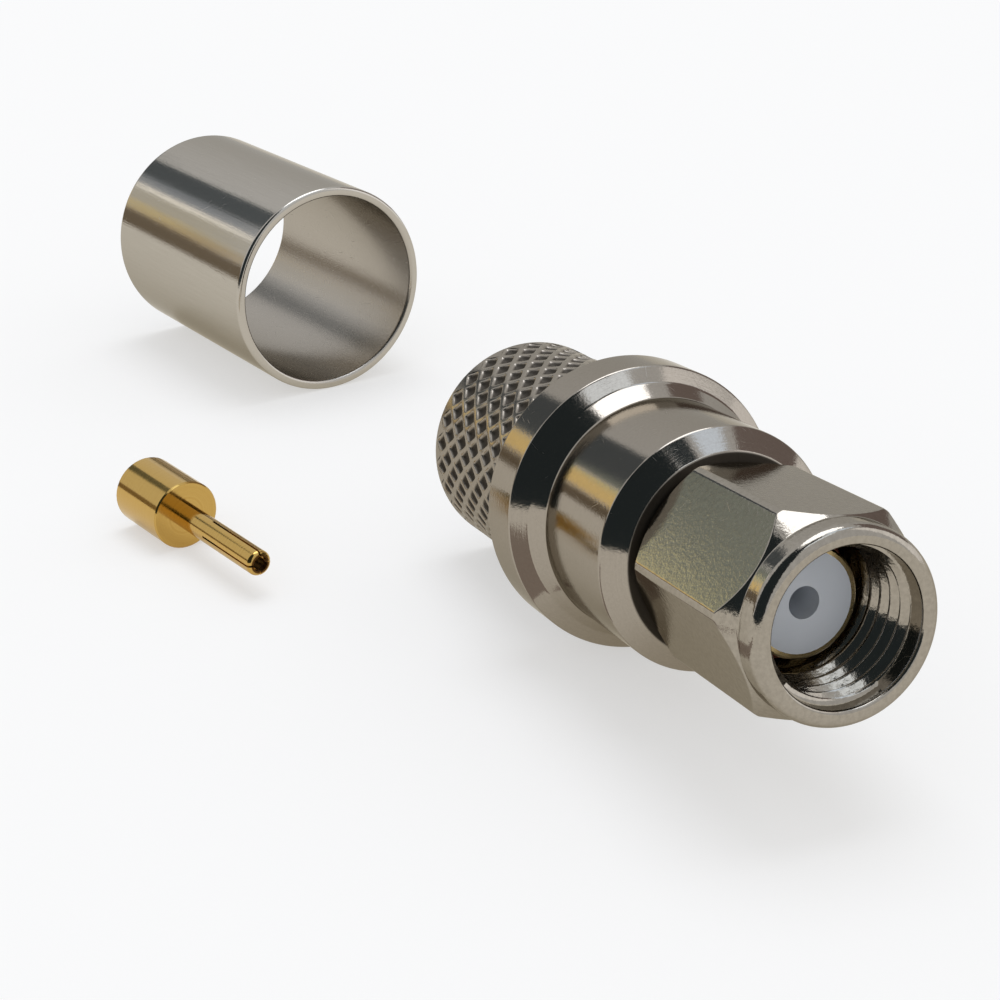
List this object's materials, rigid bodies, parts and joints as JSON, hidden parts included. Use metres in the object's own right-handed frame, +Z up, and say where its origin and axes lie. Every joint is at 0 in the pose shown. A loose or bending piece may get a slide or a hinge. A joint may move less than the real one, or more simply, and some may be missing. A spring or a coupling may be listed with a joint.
{
  "type": "reverse-polarity sma crimp plug kit",
  "caption": "Coaxial plug with a captive hexagon coupling nut and a knurled crimp stem, laid out with its loose socket contact and its loose crimp ferrule.",
  "frame": {"origin": "middle of the laid-out kit, on the surface that it lies on", "axes": "+Z up; the connector points its nose along -Y, 7.3 degrees upward, and its crimp end along +Y; the loose contact lies on the -X side"},
  "size_m": [0.0256, 0.0714, 0.0131],
  "materials": {
    "nickel_body": "nickel-plated brass, turned and bright",
    "nickel_nut": "nickel-plated brass, turned and milled, bright",
    "nickel_ferrule": "nickel-plated, drawn tube with a satin grain along it",
    "gold_contact": "gold-plated brass, turned",
    "gold_sleeve": "gold-toned plated brass",
    "spring_wire": "plain flat spring wire",
    "white_ptfe": "white fluoropolymer, waxy",
    "seal_rubber": "silicone rubber, matt"
  },
  "bodies": {
    "plug": {"connector_body": "nickel_body", "retaining_ring": "spring_wire", "gasket": "seal_rubber", "contact_sleeve": "gold_sleeve", "insulator": "white_ptfe", "centre_contact": "gold_contact", "crimp_ferrule": "nickel_ferrule"},
    "nut": {"coupling_nut": "nickel_nut"}
  },
  "joints": [
    {"name": "nut_spin", "type": "hinge", "parent": "plug", "child": "nut", "pos_m": [0.00641, -0.03524, 0.0089], "axis": [0, -0.9918, 0.128], "continuous": true}
  ]
}
